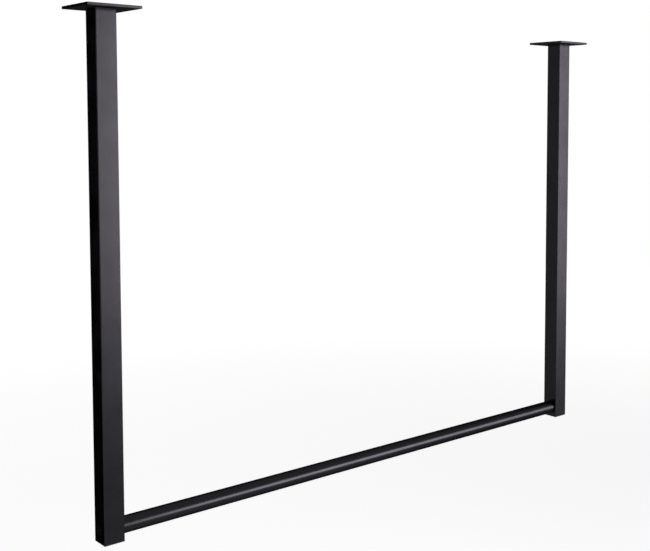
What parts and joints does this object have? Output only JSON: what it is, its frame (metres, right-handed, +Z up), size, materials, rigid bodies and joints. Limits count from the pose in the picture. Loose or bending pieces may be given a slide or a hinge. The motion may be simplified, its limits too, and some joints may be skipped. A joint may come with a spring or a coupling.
{
  "type": "ceiling-hung clothes rail",
  "caption": "Round hanging rail bolted between the lower ends of square steel posts that hang from ceiling plates.",
  "frame": {"origin": "in the ceiling plane, midway between the two ceiling plates", "axes": "+X along the rail, +Z up into the ceiling, +Y across the rail"},
  "size_m": [1.36, 0.104, 0.975],
  "materials": {
    "black_powder_coat": "fine satin powder coat over steel",
    "black_plastic": "matt moulded",
    "blackened_steel": "black oxide",
    "bare_steel": "turned, hidden inside the rail"
  },
  "bodies": {
    "root": {"ceiling_plate_left": "black_powder_coat", "ceiling_plate_right": "black_powder_coat", "plate_weld_left": "black_powder_coat", "plate_weld_right": "black_powder_coat", "post_left": "black_powder_coat", "post_right": "black_powder_coat", "end_cap_left": "black_plastic", "end_cap_right": "black_plastic", "bolt_sleeve_left": "blackened_steel", "bolt_sleeve_right": "blackened_steel", "bolt_washer_left": "blackened_steel", "bolt_washer_right": "blackened_steel", "rail_bolt_left": "blackened_steel", "rail_bolt_right": "blackened_steel", "rail_plug_left": "bare_steel", "rail_plug_right": "bare_steel", "rail_tube": "black_powder_coat"}
  },
  "joints": []
}
